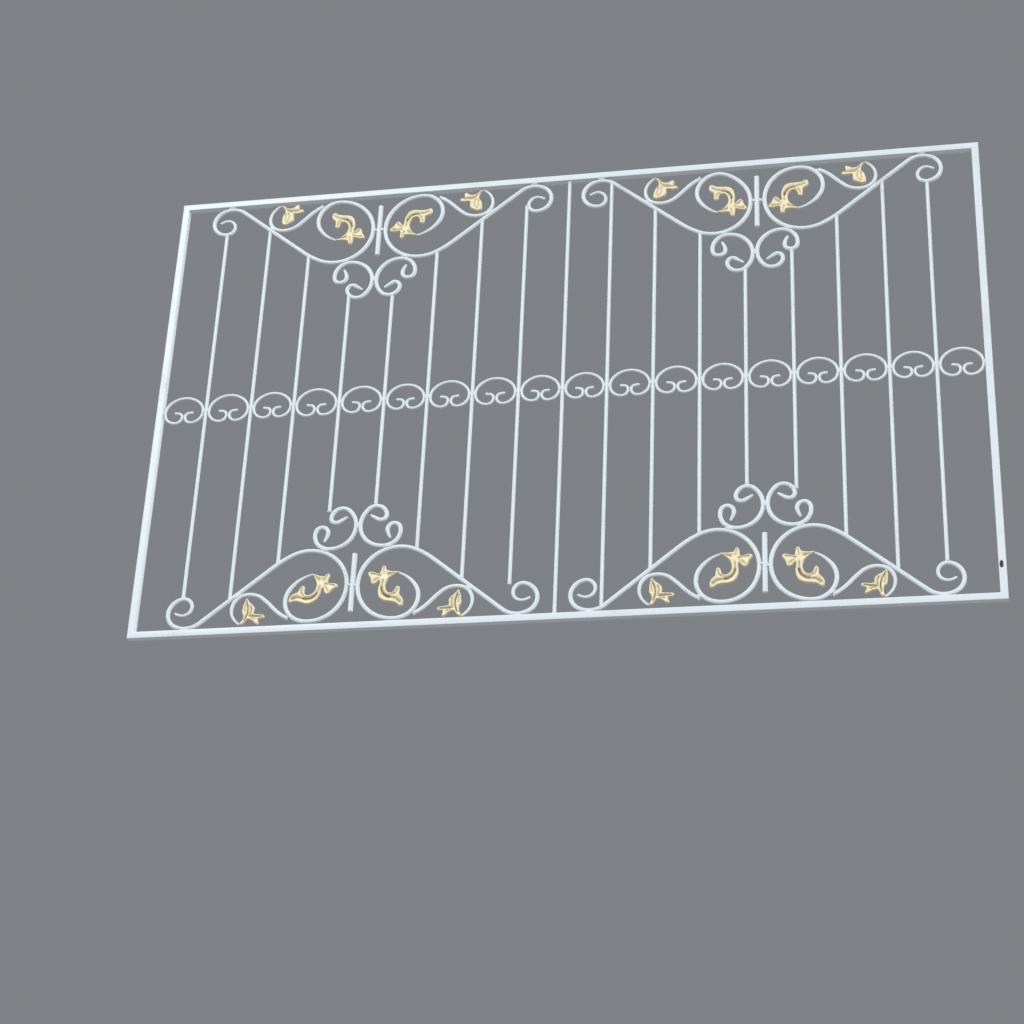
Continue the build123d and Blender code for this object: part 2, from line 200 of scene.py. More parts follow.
class GrilleShape(bpy.types.PropertyGroup):
    rod: length("Scroll rod", "Diameter of the large scrolls", 12 * MM, 4 * MM)
    rod_tip: length("Scroll tip", "Diameter at the drawn-out end of a curl", 7 * MM, 1 * MM)
    rod_tail: length("Leaf end", "Diameter where a large scroll meets its leaf", 5 * MM, 1 * MM)
    branch: length("Branch rod", "Diameter of the branch scrolls", 11 * MM, 4 * MM)
    branch_tip: length("Branch tip", "Diameter where a branch meets its leaf", 6 * MM, 1 * MM)
    curl: length(
        "Small scroll rod", "Diameter of the small double-curled scrolls", 12 * MM, 4 * MM)
    curl_tip: length(
        "Small scroll tip", "Diameter at both ends of a small scroll", 6.5 * MM, 1 * MM)
    band: length("Band rod", "Diameter of the C scrolls across the middle", 8 * MM, 2 * MM)
    hammer: length("Hammer marks", "Depth of the unevenness left by forging", 0.2 * MM, 0)
    corner: length("Tube corner", "Corner radius of the square tube", 2 * MM, 0.2 * MM)
    relief: length(
        "Leaf relief", "Height of the front of a casting above its middle", 6.5 * MM, 1 * MM)
    bead: length("Weld bead", "Width of a weld bead", 6 * MM, 1 * MM)


class GrilleFinish(bpy.types.PropertyGroup):
    white: tint("White paint", "Colour of the gloss paint", (0.78, 0.83, 0.845))
    dust: tint("Dust", "Colour of the dust on upward faces", (0.52, 0.51, 0.48))
    # Painted shade, with some grime, on the downward faces of the white paint
    shade_and_soot: tint("Soot", "Colour of the grime on downward faces", (0.30, 0.31, 0.31))
    rust: tint("Rust", "Colour of bare rusty spots", (0.10, 0.045, 0.022))
    gold: tint("Gold paint", "Colour of the castings", (1.0, 0.875, 0.56))
    # Painted shade of the castings in their hollows, creases and rims and on downward faces
    gold_painted_shade: tint(
        "Gold in hollows", "Colour of the castings in their hollows", (0.15, 0.10, 0.045))
    gloss: bpy.props.FloatProperty(
        name="Paint roughness", description="Roughness of the white paint",
        default=0.32, min=0, max=1, subtype="FACTOR")


class GrilleStage(bpy.types.PropertyGroup):
    ground: bpy.props.FloatProperty(
        name="Ground", description="Height of the ground below the sill that carries the grille",
        default=-4.35, unit="LENGTH", subtype="DISTANCE")
    floor: tint("Floor", "Colour of the floor", (0.37, 0.38, 0.39))
    backdrop: tint("Backdrop", "Colour of the background", (0.21, 0.225, 0.24))
    fill: bpy.props.FloatProperty(
        name="Fill", description="Strength of the light from all round",
        default=1.24, min=0)
    key: bpy.props.FloatProperty(
        name="Key", description="Power of the large soft lamp in front",
        default=86.0, min=0, unit="POWER", subtype="POWER")


# Node building

class Wire:
    """A socket of a node tree; arithmetic on it adds Math nodes."""

    def __init__(self, maker, node, socket):
        self.maker, self.node, self.socket = maker, node, socket

    def other(self, name):
        """Another output of the same node."""
        return Wire(self.maker, self.node, self.node.outputs[name])

    def maths(self, operation, first, second):
        return self.maker.node("ShaderNodeMath", {"operation": operation}, {0: first, 1: second})

    def __add__(self, other):
        return self.maths("ADD", self, other)

    def __sub__(self, other):
        return self.maths("SUBTRACT", self, other)

    def __rsub__(self, other):
        return self.maths("SUBTRACT", other, self)

    def __mul__(self, other):
        return self.maths("MULTIPLY", self, other)

    __radd__, __rmul__ = __add__, __mul__

    def larger(self, other):
        """The larger of the two values."""
        return self.maths("MAXIMUM", self, other)

    def between(self, low, high):
        """0 at low, 1 at high, smooth in between and held outside."""
        return self.maker.node(
            "ShaderNodeMapRange", {"interpolation_type": "SMOOTHSTEP"},
            {"Value": self, "From Min": low, "From Max": high})


class NodeMaker:
    """Adds nodes to one tree."""

    def __init__(self, tree):
        self.tree = tree
        tree.nodes.clear()

    def node(self, kind, settings=None, values=None, output=0):
        """A node with its settings made first, then its sockets filled or linked."""
        made = self.tree.nodes.new(kind)
        for name, value in (settings or {}).items():
            setattr(made, name, value)
        for key, value in (values or {}).items():
            if isinstance(value, Wire):
                self.tree.links.new(value.socket, made.inputs[key])
            else:
                made.inputs[key].default_value = value
        return Wire(self, made, made.outputs[output] if len(made.outputs) else None)

    def noise(self, place, scale, detail):
        return self.node("ShaderNodeTexNoise", values={
            "Vector": place, "Scale": scale, "Detail": detail})

    def upward(self):
        """1 on faces that look up, 0 on upright ones and -1 on those that look down."""
        normal = self.node("ShaderNodeNewGeometry", output="Normal")
        return self.node("ShaderNodeSeparateXYZ", values={"Vector": normal}, output="Z")

    def attribute(self, kind, name):
        return self.node("GeometryNodeInputNamedAttribute", {"data_type": kind}, {"Name": name})

    def scaled(self, vector, factor):
        return self.node(
            "ShaderNodeVectorMath", {"operation": "SCALE"}, {0: vector, "Scale": factor})


def blended(maker, share, low, high):
    """Colour between low and high."""
    return maker.node(
        "ShaderNodeMix", {"data_type": "RGBA"}, {0: share, 6: low, 7: high}, output=2)


def solid(colour):
    return (*colour, 1.0)


def added(name, data):
    """New object of the scene."""
    made = bpy.data.objects.new(name, data)
    bpy.context.scene.collection.objects.link(made)
    return made


# Finishes

# Middle (x, z) and half sizes of the dark rust-coloured patch on the front of the right stile
DARK_PATCH_MIDDLE = (1.187, 0.103)
DARK_PATCH_SIZE = (0.006, 0.013)

# How far the unevenness of either paint stands out
PAINT_DEPTH = 0.6 * MM

# Gold where it is rubbed on the high places; partly a painted highlight there
RUBBED_AND_HIGHLIT_GOLD = (1.0, 0.95, 0.78)


def new_material(name):
    """Material without nodes, and the maker that adds them."""
    material = bpy.data.materials.new(name)
    material.use_nodes = True
    return material, NodeMaker(material.node_tree)


def end_material(maker, values):
    """Shows a principled shader with these values."""
    shader = maker.node("ShaderNodeBsdfPrincipled", values=values)
    maker.node("ShaderNodeOutputMaterial", values={"Surface": shader})


def white_paint():
    """Gloss white paint, hand brushed over welded steel, dusty on top and chipped in places."""
    finish = bpy.context.scene.grille_finish
    material, maker = new_material("brushed_white")
    place = maker.node("ShaderNodeTexCoord", output="Object")
    stains = maker.noise(place, 9.0, 4.0)
    mottle = maker.noise(place, 70.0, 3.0)
    specks = maker.noise(place, 210.0, 2.0)
    upward = maker.upward()
    grimy = stains.between(0.50, 0.78) * 0.16
    dusty = upward.between(0.25, 1.0) * (0.25 + 0.75 * mottle.between(0.35, 0.65)) * 0.55
    # Painted shade, with some grime, on faces that look down
    shaded_and_sooty = (upward * -1.0).between(0.55, 1.0) * 0.6
    chipped = (specks * 0.62 + stains * 0.38).between(0.655, 0.70) * 0.7

    across = maker.node("ShaderNodeSeparateXYZ", values={"Vector": place})
    wide = (across - DARK_PATCH_MIDDLE[0]) * (1 / DARK_PATCH_SIZE[0])
    tall = (across.other("Z") - DARK_PATCH_MIDDLE[1]) * (1 / DARK_PATCH_SIZE[1])
    spread = wide * wide + tall * tall + mottle * 1.2
    on_front = (across.other("Y") * -1.0).between(6 * MM, 9 * MM)
    dark_patch = (1 - spread.between(1.1, 1.5)) * on_front

    colour = solid(finish.white)
    for share, layer in (
            (grimy, finish.dust), (dusty, finish.dust), (shaded_and_sooty, finish.shade_and_soot),
            (chipped.larger(dark_patch), finish.rust)):
        colour = blended(maker, share, colour, solid(layer))
    bumps = maker.node("ShaderNodeBump", values={
        "Strength": 0.22, "Distance": PAINT_DEPTH, "Height": mottle * 0.8 - chipped * 0.5})
    end_material(maker, {
        "Base Color": colour,
        "Roughness": finish.gloss - 0.06 + mottle * 0.12 + dusty * 0.5 + chipped * 0.4,
        "Specular IOR Level": 0.5, "Coat Weight": 0.25, "Coat Roughness": 0.18,
        "Normal": bumps})
    return material


def gold_paint():
    """Pale gold paint over rough castings, with painted shade in the hollows and underneath."""
    finish = bpy.context.scene.grille_finish
    material, maker = new_material("shaded_worn_gold")
    place = maker.node("ShaderNodeTexCoord", output="Object")
    hollow = maker.node("ShaderNodeAttribute", {"attribute_name": "hollow"}, output="Fac")
    grain = maker.noise(place, 420.0, 3.0)
    patches = maker.noise(place, 55.0, 3.0)
    # Painted shade on faces that look down
    below = (maker.upward() * -1.0).between(0.05, 0.85) * 0.6
    # Painted shade in the hollows, creases and rims and on the backs of the castings
    shaded = hollow.between(0.12, 1.0) * (0.75 + 0.25 * patches.between(0.3, 0.7))
    shaded = shaded.larger(below)
    # Rubbed gold on the high places, partly a painted highlight
    worn_and_highlit = (1 - hollow.between(0.0, 0.30)) * patches.between(0.52, 0.70) * 0.35
    colour = blended(maker, shaded, solid(finish.gold), solid(finish.gold_painted_shade))
    colour = blended(maker, worn_and_highlit, colour, solid(RUBBED_AND_HIGHLIT_GOLD))
    bumps = maker.node("ShaderNodeBump", values={
        "Strength": 0.45, "Distance": PAINT_DEPTH, "Height": grain * 0.7 + patches * 0.9})
    end_material(maker, {
        "Base Color": colour, "Metallic": 0.1,
        "Roughness": 0.34 + grain * 0.14 + shaded * 0.2,
        "Specular IOR Level": 0.5, "Coat Weight": 0.2, "Normal": bumps})
    return material


def finish_named(name):
    """The finish of that name, made on first use."""
    makers = {"brushed_white": white_paint, "shaded_worn_gold": gold_paint}
    return bpy.data.materials.get(name) or makers[name]()


# Geometry Nodes

def new_tree(name, inputs, output):
    """Geometry tree with inputs (name, kind, default), its maker and the node of its inputs."""
    tree = bpy.data.node_groups.new(name, "GeometryNodeTree")
    for label, kind, default in inputs:
        socket = tree.interface.new_socket(label, in_out="INPUT", socket_type="NodeSocket" + kind)
        if default is not None:
            socket.default_value = default
    tree.interface.new_socket(output, in_out="OUTPUT", socket_type="NodeSocketGeometry")
    maker = NodeMaker(tree)
    return tree, maker, maker.node("NodeGroupInput")


def end_tree(maker, given, mesh, push):
    """Moves the surface out by push, smooths it and gives it the finish."""
    offset = maker.scaled(maker.node("GeometryNodeInputNormal"), push)
    mesh = maker.node("GeometryNodeSetPosition", values={"Geometry": mesh, "Offset": offset})
    mesh = maker.node("GeometryNodeSetShadeSmooth", values={"Geometry": mesh})
    mesh = maker.node("GeometryNodeRealizeInstances", values={"Geometry": mesh})
    mesh = maker.node("GeometryNodeSetMaterial", values={
        "Geometry": mesh, "Material": given.other("Finish")})
    maker.node("NodeGroupOutput", values={0: mesh})


def forged_rod_tree():
    """Sweeps a round section, as thick as each point says, along the given curve."""
    tree, maker, given = new_tree("forged_rod", (
        ("Path", "Geometry", None), ("Sides", "Int", 28), ("Hammer marks", "Float", 0.2 * MM),
        ("Mark size", "Float", 45.0), ("Finish", "Material", None)), "Rod")
    section = maker.node("GeometryNodeCurvePrimitiveCircle", values={
        "Resolution": given.other("Sides"), "Radius": 1.0})
    rod = maker.node("GeometryNodeCurveToMesh", values={
        "Curve": given, "Profile Curve": section, "Scale": maker.attribute("FLOAT", "radius"),
        "Fill Caps": True})
    marks = maker.noise(maker.node("GeometryNodeInputPosition"), given.other("Mark size"), 2.0)
    end_tree(maker, given, rod, (marks - 0.75) * given.other("Hammer marks"))
    return tree


def weld_tree():
    """Puts a drop on each point, drawn out along the point's own direction."""
    tree, maker, given = new_tree("weld_beads", (
        ("Places", "Geometry", None), ("Bead width", "Float", 6 * MM),
        ("Unevenness", "Float", 0.6 * MM), ("Seed", "Int", 7), ("Finish", "Material", None)),
        "Beads")
    drop = maker.node("GeometryNodeMeshIcoSphere", values={"Radius": 0.5, "Subdivisions": 3})
    turn = maker.node("FunctionNodeAlignRotationToVector", {"axis": "X"}, {
        "Vector": maker.attribute("FLOAT_VECTOR", "along")})
    vary = maker.node("FunctionNodeRandomValue", {"data_type": "FLOAT_VECTOR"}, {
        "Min": (0.85, 0.85, 0.85), "Max": (1.15, 1.15, 1.15), "Seed": given.other("Seed")})
    size = maker.node("ShaderNodeVectorMath", {"operation": "MULTIPLY"}, {
        0: maker.attribute("FLOAT_VECTOR", "share"), 1: vary})
    beads = maker.node("GeometryNodeInstanceOnPoints", values={
        "Points": given, "Instance": drop, "Rotation": turn,
        "Scale": maker.scaled(size, given.other("Bead width"))})
    beads = maker.node("GeometryNodeRealizeInstances", values={"Geometry": beads})
    lumps = maker.noise(maker.node("GeometryNodeInputPosition"), 260.0, 1.0)
    end_tree(maker, given, beads, (lumps - 0.5) * 2.0 * given.other("Unevenness"))
    return tree


def tree_named(name, maker):
    """The tree of that name, made on first use."""
    return bpy.data.node_groups.get(name) or maker()


def grown(source, tree, settings, name):
    """Plain mesh object that a tree makes from a source object, which is then removed."""
    modifier = source.modifiers.new(name, "NODES")
    modifier.node_group = tree
    identifiers = {s.name: s.identifier for s in tree.interface.items_tree if s.in_out == "INPUT"}
    for key, value in settings.items():
        modifier[identifiers[key]] = value
    bpy.context.view_layer.update()
    ready = source.evaluated_get(bpy.context.evaluated_depsgraph_get())
    mesh = bpy.data.meshes.new_from_object(ready)
    mesh.name = name
    data = source.data
    bpy.data.objects.remove(source)
    kept_in = bpy.data.curves if isinstance(data, bpy.types.Curve) else bpy.data.meshes
    kept_in.remove(data)
    return added(name, mesh)


def fitted(piece, slot, *nodes):
    """Hangs a finished piece on the grille in place of its plain nodes."""
    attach(piece, "root")
    if nodes:
        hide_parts(*nodes)


# Paths of the rods

# Longest step along a bend, in degrees, and along a straight, in mm
BEND_STEP = 6
STRAIGHT_STEP = 12

# Domed rod ends: length in radii, and the rings of the dome as shares of that length
DOME = 0.8
DOME_RINGS = np.array([0.03, 0.12, 0.3, 0.55, 0.8, 1.0])

# How far a rod may move to meet its neighbour, and how often that is halved
SETTLE_REACH = 20 * MM
SETTLE_ROUNDS = 14


def chain(heading, bends):
    """Points of a chain of bends, the index at which each bend ends, and the last heading."""
    x, y, turn = 0.0, 0.0, math.radians(heading)
    points, bend_ends = [(x, y)], [0]
    for radius, amount in bends:
        if radius:
            sweep = math.radians(amount)
            bow = math.copysign(radius, sweep)
            count = max(3, math.ceil(abs(amount) / BEND_STEP))
            cx, cy = x - bow * math.sin(turn), y + bow * math.cos(turn)
            for k in range(1, count + 1):
                a = turn + sweep * k / count
                points.append((cx + bow * math.sin(a), cy - bow * math.cos(a)))
            turn += sweep
        else:
            count = max(2, math.ceil(amount / STRAIGHT_STEP))
            for k in range(1, count + 1):
                d = amount * k / count
                points.append((x + d * math.cos(turn), y + d * math.sin(turn)))
        x, y = points[-1]
        bend_ends.append(len(points) - 1)
    return np.array(points) * MM, bend_ends, turn


def run_up_to(points):
    """Length of a run up to each of its points."""
    return np.concatenate([[0], np.cumsum(np.linalg.norm(np.diff(points, axis=0), axis=1))])


def thickness(points, ends, full, start, start_bends, finish, finish_bends):
    """Radius at each point of a rod that is drawn out over its first and last bends."""
    run = run_up_to(points)
    radius = np.full(len(points), full / 2)
    if start_bends:
        share = np.clip(run / run[ends[start_bends]], 0, 1)
        radius = np.minimum(radius, (start + (full - start) * share) / 2)
    if finish_bends:
        reach = run[-1] - run[ends[-1 - finish_bends]]
        share = np.clip((run[-1] - run) / reach, 0, 1)
        radius = np.minimum(radius, (finish + (full - finish) * share) / 2)
    return radius


def rounded_ends(points, radius):
    """The same rod with both ends domed, inside its length."""
    for flip in (False, True):
        if flip:
            points, radius = points[::-1], radius[::-1]
        end, dome = points[0], radius[0] * DOME
        inward = points[1] - end
        inward /= np.linalg.norm(inward)
        keep = run_up_to(points) > dome * 1.05
        rings = end + inward * (DOME_RINGS[:, None] * dome)
        sizes = radius[0] * np.sqrt(1 - (1 - DOME_RINGS) ** 2)
        points = np.concatenate([rings, points[keep]])
        radius = np.concatenate([sizes, radius[keep]])
    return points[::-1], radius[::-1]


def rods(name, runs, settings):
    """One mesh of forged rods; each run is points in the grille's plane (x, z) and radii."""
    data = bpy.data.curves.new(name, "CURVE")
    data.dimensions = "3D"
    for points, radius in runs:
        spline = data.splines.new("POLY")
        spline.points.add(len(points) - 1)
        for point, (x, z), r in zip(spline.points, points, radius):
            point.co = (x, 0.0, z, 1.0)
            point.radius = r
    source = added(name + "_path", data)
    return grown(source, tree_named("forged_rod", forged_rod_tree), settings, name)


def rail_face(level):
    """Height of the inner face of the rail that a group hangs on."""
    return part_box("top_rail")[0].z if level > 0 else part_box("bottom_rail")[1].z


def group_middle(group):
    """The two S scrolls of a group reach out equally far from its middle."""
    boxes = [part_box(f"{group}_{hand_name}_scroll") for hand_name in ("outer", "inner")]
    return (min(low.x for low, high in boxes) + max(high.x for low, high in boxes)) / 2


def placed(half, points, radius, node):
    """Points of a rod in the grille's plane, moved to fill the box of its CAD node."""
    low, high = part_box(node)
    reach = (high.x - half.middle) if half.hand > 0 else (half.middle - low.x)
    depth = (half.rail - high.z) if half.level > 0 else (low.z - half.rail)
    out = points[:, 0] + reach - (points[:, 0] + radius).max()
    down = points[:, 1] + depth - (points[:, 1] - radius).min()
    return np.stack([half.middle + half.hand * out, half.rail - half.level * down], axis=1)


def surface_gaps(first, second):
    """Gaps between the surfaces of two rods, from each point of one to each of the other."""
    gaps = np.linalg.norm(first[0][:, None] - second[0][None], axis=-1)
    return gaps - (first[1][:, None] + second[1][None])


def settled(run, neighbour, toward):
    """The rod moved up or down until it just clears its neighbour on the side it moves to."""
    points, radius = run
    near, far = SETTLE_REACH, -SETTLE_REACH
    for _ in range(SETTLE_ROUNDS):
        step = (near + far) / 2
        moved = points + np.array([0.0, toward * step])
        if surface_gaps((moved, radius), neighbour).min() < WELD_GAP:
            near = step
        else:
            far = step
    return points + np.array([0.0, toward * far]), radius


class Half:
    """Half a scroll group: its names, its sense in the grille and the runs of its rods."""

    def __init__(self, level_name, side_name, hand_name):
        shape = bpy.context.scene.grille_shape
        self.group, self.hand_name = f"{level_name}_{side_name}", hand_name
        self.level = LEVELS[level_name]
        self.hand = SIDES[side_name] * (1 if hand_name == "outer" else -1)
        self.middle, self.rail = group_middle(self.group), rail_face(self.level)
        drawn_in, tail_cut, *self.leaf_turns = HALVES[f"{self.group}_{hand_name}"]
        bends = [
            (a[0] + (b[0] - a[0]) * drawn_in, a[1] + (b[1] - a[1]) * drawn_in)
            for a, b in zip(SCROLL_BENDS, NARROW_SCROLL_BENDS)]
        bends[-1] = (bends[-1][0], bends[-1][1] - tail_cut)

        self.scroll, turn = self.rod(
            hand_name + "_scroll", SCROLL_HEADING, bends,
            shape.rod, shape.rod_tip, 2, shape.rod_tail, 1)
        self.straight = tuple(column[ROUND_POINTS:] for column in self.scroll)
        branch, _ = self.rod(
            "branch_scrolls", BRANCH_HEADING, BRANCH_BENDS,
            shape.branch, shape.branch_tip, 2, shape.branch, 0)
        self.branch = settled(branch, self.straight, -self.level)
        curl, _ = self.rod(
            "small_scrolls", CURL_HEADING, CURL_BENDS,
            shape.curl, shape.curl_tip, 1, shape.curl_tip, 1)
        self.curl = settled(curl, self.scroll, self.level)
        self.leaf_headings = (turn, math.radians(BRANCH_HEADING + 180))

    def rod(self, node, heading, bends, *sizes):
        """Points in the grille and radii of a rod, and the heading of its last point."""
        points, ends, turn = chain(heading, bends)
        radius = thickness(points, ends, *sizes)
        return (placed(self, points, radius, f"{self.group}_{node}"), radius), turn


def halves():
    """Every half group, outer before inner."""
    return [
        Half(level_name, side_name, hand_name)
        for level_name in LEVELS for side_name in SIDES for hand_name in ("outer", "inner")]


def band_runs():
    """The C scroll of every bay, as wide as its bay allows."""
    shape = bpy.context.scene.grille_shape
    walls = [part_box("left_stile")[1].x]
    for bar in BARS:
        low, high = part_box(bar)
        walls += [low.x, high.x]
    walls.append(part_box("right_stile")[0].x)
    low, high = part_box("left_band_scrolls")
    level = (low.z + high.z) / 2
    heading = -sum(turn for radius, turn in BAND_BENDS if radius)
    runs = []
    for left, right in zip(walls[::2], walls[1::2]):
        points = chain(heading, BAND_BENDS[::-1] + BAND_BENDS)[0]
        wide = right - left - 2 * WELD_GAP - shape.band
        points *= wide / np.ptp(points[:, 0])
        points += np.array([(left + right) / 2, level]) - (points.max(0) + points.min(0)) / 2
        runs.append((points, np.full(len(points), shape.band / 2)))
    return runs


# Castings; all lengths in mm, and depth is the distance from the outline

# Half width of a casting's stem, and how far it laps over its rod
STEM_HALF = 3.0
STEM_LAP = 2.0

# Where the tail of a large leaf starts, how far back it curls, and over what length
TAIL_START = -74
SWEEP = 6.0
SWEEP_RUN = 30.0

# Spacing of the points, and how near the outline an outer point may be drawn onto it
GRID_STEP = 1.1
RIM_REACH = 0.55 * GRID_STEP

# Depths at which the rounded edge ends, the trough starts and ends, and creases and valleys
# are fully cut
EDGE_END = 4.5
TROUGH_START, TROUGH_END = 4.0, 10.0
CREASE_FULL, VALLEY_FULL = 2.5, 4.0

# Widths of a crease and of the valley round it, in widths of the crease
CREASE_SPREAD, VALLEY_SPREAD = 1.4, 3.0

# Heights and cuts as shares of the relief
EDGE_HEIGHT, FRONT_DOME, BACK_DOME = 0.12, 0.88, 0.66
TROUGH_CUT, VALLEY_CUT, CREASE_CUT = 0.20, 0.34, 0.30

# How dark the painted shade comes out in the hollows, at the rim and on the back
TROUGH_SHADE, VALLEY_SHADE, RIM_SHADE, BACK_SHADE = 0.05, 0.12, 0.25, 0.35
RIM_SHADE_WIDTH = 1.3


def inside_and_distance(points, outline):
    """For each point, whether it lies in the outline, its distance to it and the nearest point."""
    a, b = outline, np.roll(outline, -1, axis=0)
    edge = b - a
    offset = points[:, None] - a[None]
    share = np.clip((offset * edge).sum(-1) / (edge * edge).sum(-1), 0, 1)
    nearest = a + share[..., None] * edge
    gaps = np.linalg.norm(points[:, None] - nearest, axis=-1)
    best = gaps.argmin(1)
    rows = np.arange(len(points))
    crosses = (a[:, 1] > points[:, 1, None]) != (b[:, 1] > points[:, 1, None])
    with np.errstate(divide="ignore", invalid="ignore"):
        cut = a[:, 0] + (points[:, 1, None] - a[:, 1]) * edge[:, 0] / edge[:, 1]
    inside = (crosses & (points[:, 0, None] < cut)).sum(1) % 2 == 1
    return inside, gaps[rows, best], nearest[rows, best]


def softened(outline, parts=5):
    """Closed curve that runs smoothly through the points of an outline."""
    p1 = np.array(outline, float)
    p0, p2, p3 = (np.roll(p1, k, axis=0) for k in (1, -1, -2))
    rounds = []
    for t in np.arange(parts) / parts:
        rounds.append(0.5 * (
            2 * p1 + (p2 - p0) * t + (2 * p0 - 5 * p1 + 4 * p2 - p3) * t ** 2
            + (3 * p1 - p0 - 3 * p2 + p3) * t ** 3))
    return np.stack(rounds, axis=1).reshape(-1, 2)


def crease_depth(points, creases, spread, shading=False):
    """1, or the darkness when shading, on a crease, falling to 0 away from it."""
    depth = np.zeros(len(points))
    for width, dark, crease in creases:
        line = np.array(crease, float)
        a, edge = line[:-1], np.diff(line, axis=0)
        share = np.clip(((points[:, None] - a) * edge).sum(-1) / (edge * edge).sum(-1), 0, 1)
        gap = np.linalg.norm(points[:, None] - (a + share[..., None] * edge), axis=-1).min(1)
        fall = np.exp(-((gap / width / spread) ** 2))
        depth = np.maximum(depth, fall * (dark if shading else 1))
    return depth


def leaf_grid(edge):
    """Points, their depths, square faces and rim sides of a grid that fills an outline."""
    low, high = edge.min(0) - GRID_STEP, edge.max(0) + GRID_STEP
    xs, ys = np.arange(low[0], high[0], GRID_STEP), np.arange(low[1], high[1], GRID_STEP)
    grid = np.stack(np.meshgrid(xs, ys, indexing="ij"), -1).reshape(-1, 2)
    inside, gap, nearest = inside_and_distance(grid, edge)
    signed = np.where(inside, gap, -gap)
    near = signed > -RIM_REACH
    wide = len(ys)
    cells = []
    for i in range(len(xs) - 1):
        for j in range(wide - 1):
            cell = (i * wide + j, (i + 1) * wide + j, (i + 1) * wide + j + 1, i * wide + j + 1)
            if all(near[c] for c in cell) and sum(inside[c] for c in cell) > 1:
                cells.append(cell)
    used = sorted({c for cell in cells for c in cell})
    number = {c: k for k, c in enumerate(used)}
    faces = [[number[c] for c in cell] for cell in cells]
    sides = [side for face in faces for side in zip(face, face[1:] + face[:1])]
    counts = Counter(frozenset(side) for side in sides)
    rim = [side for side in sides if counts[frozenset(side)] == 1]
    flat, depth = grid[used], np.maximum(signed[used], 0.15)
    on_rim = sorted({k for side in rim for k in side})
    flat[on_rim] = nearest[used][on_rim]
    depth[on_rim] = 0.0
    return flat, depth, faces, rim


def casting(outline, creases, tail_start, relief):
    """Vertices (out, down, forward), faces and shades (1 in a deep hollow) of one casting.

    What lies beyond tail_start, on the rail's side, curls back towards the building.
    """
    flat, depth, cells, rim = leaf_grid(softened(outline))
    dome = np.sqrt(np.clip(1 - (1 - np.minimum(depth / EDGE_END, 1)) ** 2, 0, 1))
    trough = np.clip((depth - TROUGH_START) / (TROUGH_END - TROUGH_START), 0, 1)
    in_crease, in_valley = (np.clip(depth / full, 0, 1) for full in (CREASE_FULL, VALLEY_FULL))
    crease = crease_depth(flat, creases, CREASE_SPREAD) * in_crease
    valley = crease_depth(flat, creases, VALLEY_SPREAD) * in_valley
    cuts = TROUGH_CUT * trough + VALLEY_CUT * valley + CREASE_CUT * crease
    front = relief * (EDGE_HEIGHT + FRONT_DOME * dome - cuts)
    back = relief * (EDGE_HEIGHT + BACK_DOME * dome)
    swept = SWEEP * np.clip((tail_start - flat[:, 1]) / SWEEP_RUN, 0, 1) ** 1.5
    # Painted shade in the creases, trough and valleys, at the rim and on the back
    dark = crease_depth(flat, creases, CREASE_SPREAD, shading=True) * in_crease
    at_rim = np.clip(1 - depth / RIM_SHADE_WIDTH, 0, 1)
    hollow = TROUGH_SHADE * trough + VALLEY_SHADE * valley + dark + RIM_SHADE * at_rim
    count = len(flat)
    verts = np.concatenate([
        np.column_stack([flat, front - swept]), np.column_stack([flat, -back - swept])])
    faces = cells + [[k + count for k in reversed(cell)] for cell in cells]
    faces += [[b, a, a + count, b + count] for a, b in rim]
    return verts, faces, np.concatenate([np.clip(hollow, 0, 1), np.full(count, BACK_SHADE)])


def hung_leaf(half, end, heading, turn, leaf, relief):
    """A casting turned about the end of its rod: vertices in the grille, faces and shades."""
    outline, creases, tail_start = leaf
    angle = heading - math.radians(turn)
    ahead = np.array((math.cos(angle), math.sin(angle)))
    side = np.array((-ahead[1], ahead[0]))
    first, last = (tuple(sign * STEM_HALF * side - STEM_LAP * ahead) for sign in (1, -1))
    verts, faces, hollow = casting([first, *outline, last], creases, tail_start, relief / MM)
    c, s = math.cos(math.radians(turn)), math.sin(math.radians(turn))
    verts = [
        (end[0] + half.hand * (c * a - s * b), -forward, end[1] - half.level * (s * a + c * b))
        for a, b, forward in verts * MM]
    if half.hand * half.level < 0:
        faces = [face[::-1] for face in faces]
    return verts, faces, hollow


# Weld beads, in bead widths: along the joint, across it, and from front to back

RAIL_BEAD = (4.2, 1.2, 1.1)
ROD_BEAD = (3.6, 1.2, 1.1)
CURL_BEAD = (3.4, 1.2, 1.1)
BAND_BEAD = (2.2, 0.9, 0.8)
BRANCH_END_BEAD = (1.3, 2.2, 2.2)
BAR_END_BEAD = (1.1, 2.0, 2.0)

# A stay's beads lie askew; each reaches a little past the slit between stay and loop
STAY_LEANS = (-0.7, 0.7)
STAY_BEAD_EXTRA, STAY_BEAD_WIDTH = 1.6, 0.8


def contact(first, second):
    """Middle and direction of the place where two rods come nearest."""
    a, b = first[0], second[0]
    gaps = surface_gaps(first, second)
    i, j = np.unravel_index(gaps.argmin(), gaps.shape)
    share = first[1][i] / (first[1][i] + second[1][j])
    middle = a[i] + (b[j] - a[i]) * share
    ahead = a[min(i + 1, len(a) - 1)] - a[max(i - 1, 0)]
    return middle, ahead / np.linalg.norm(ahead)


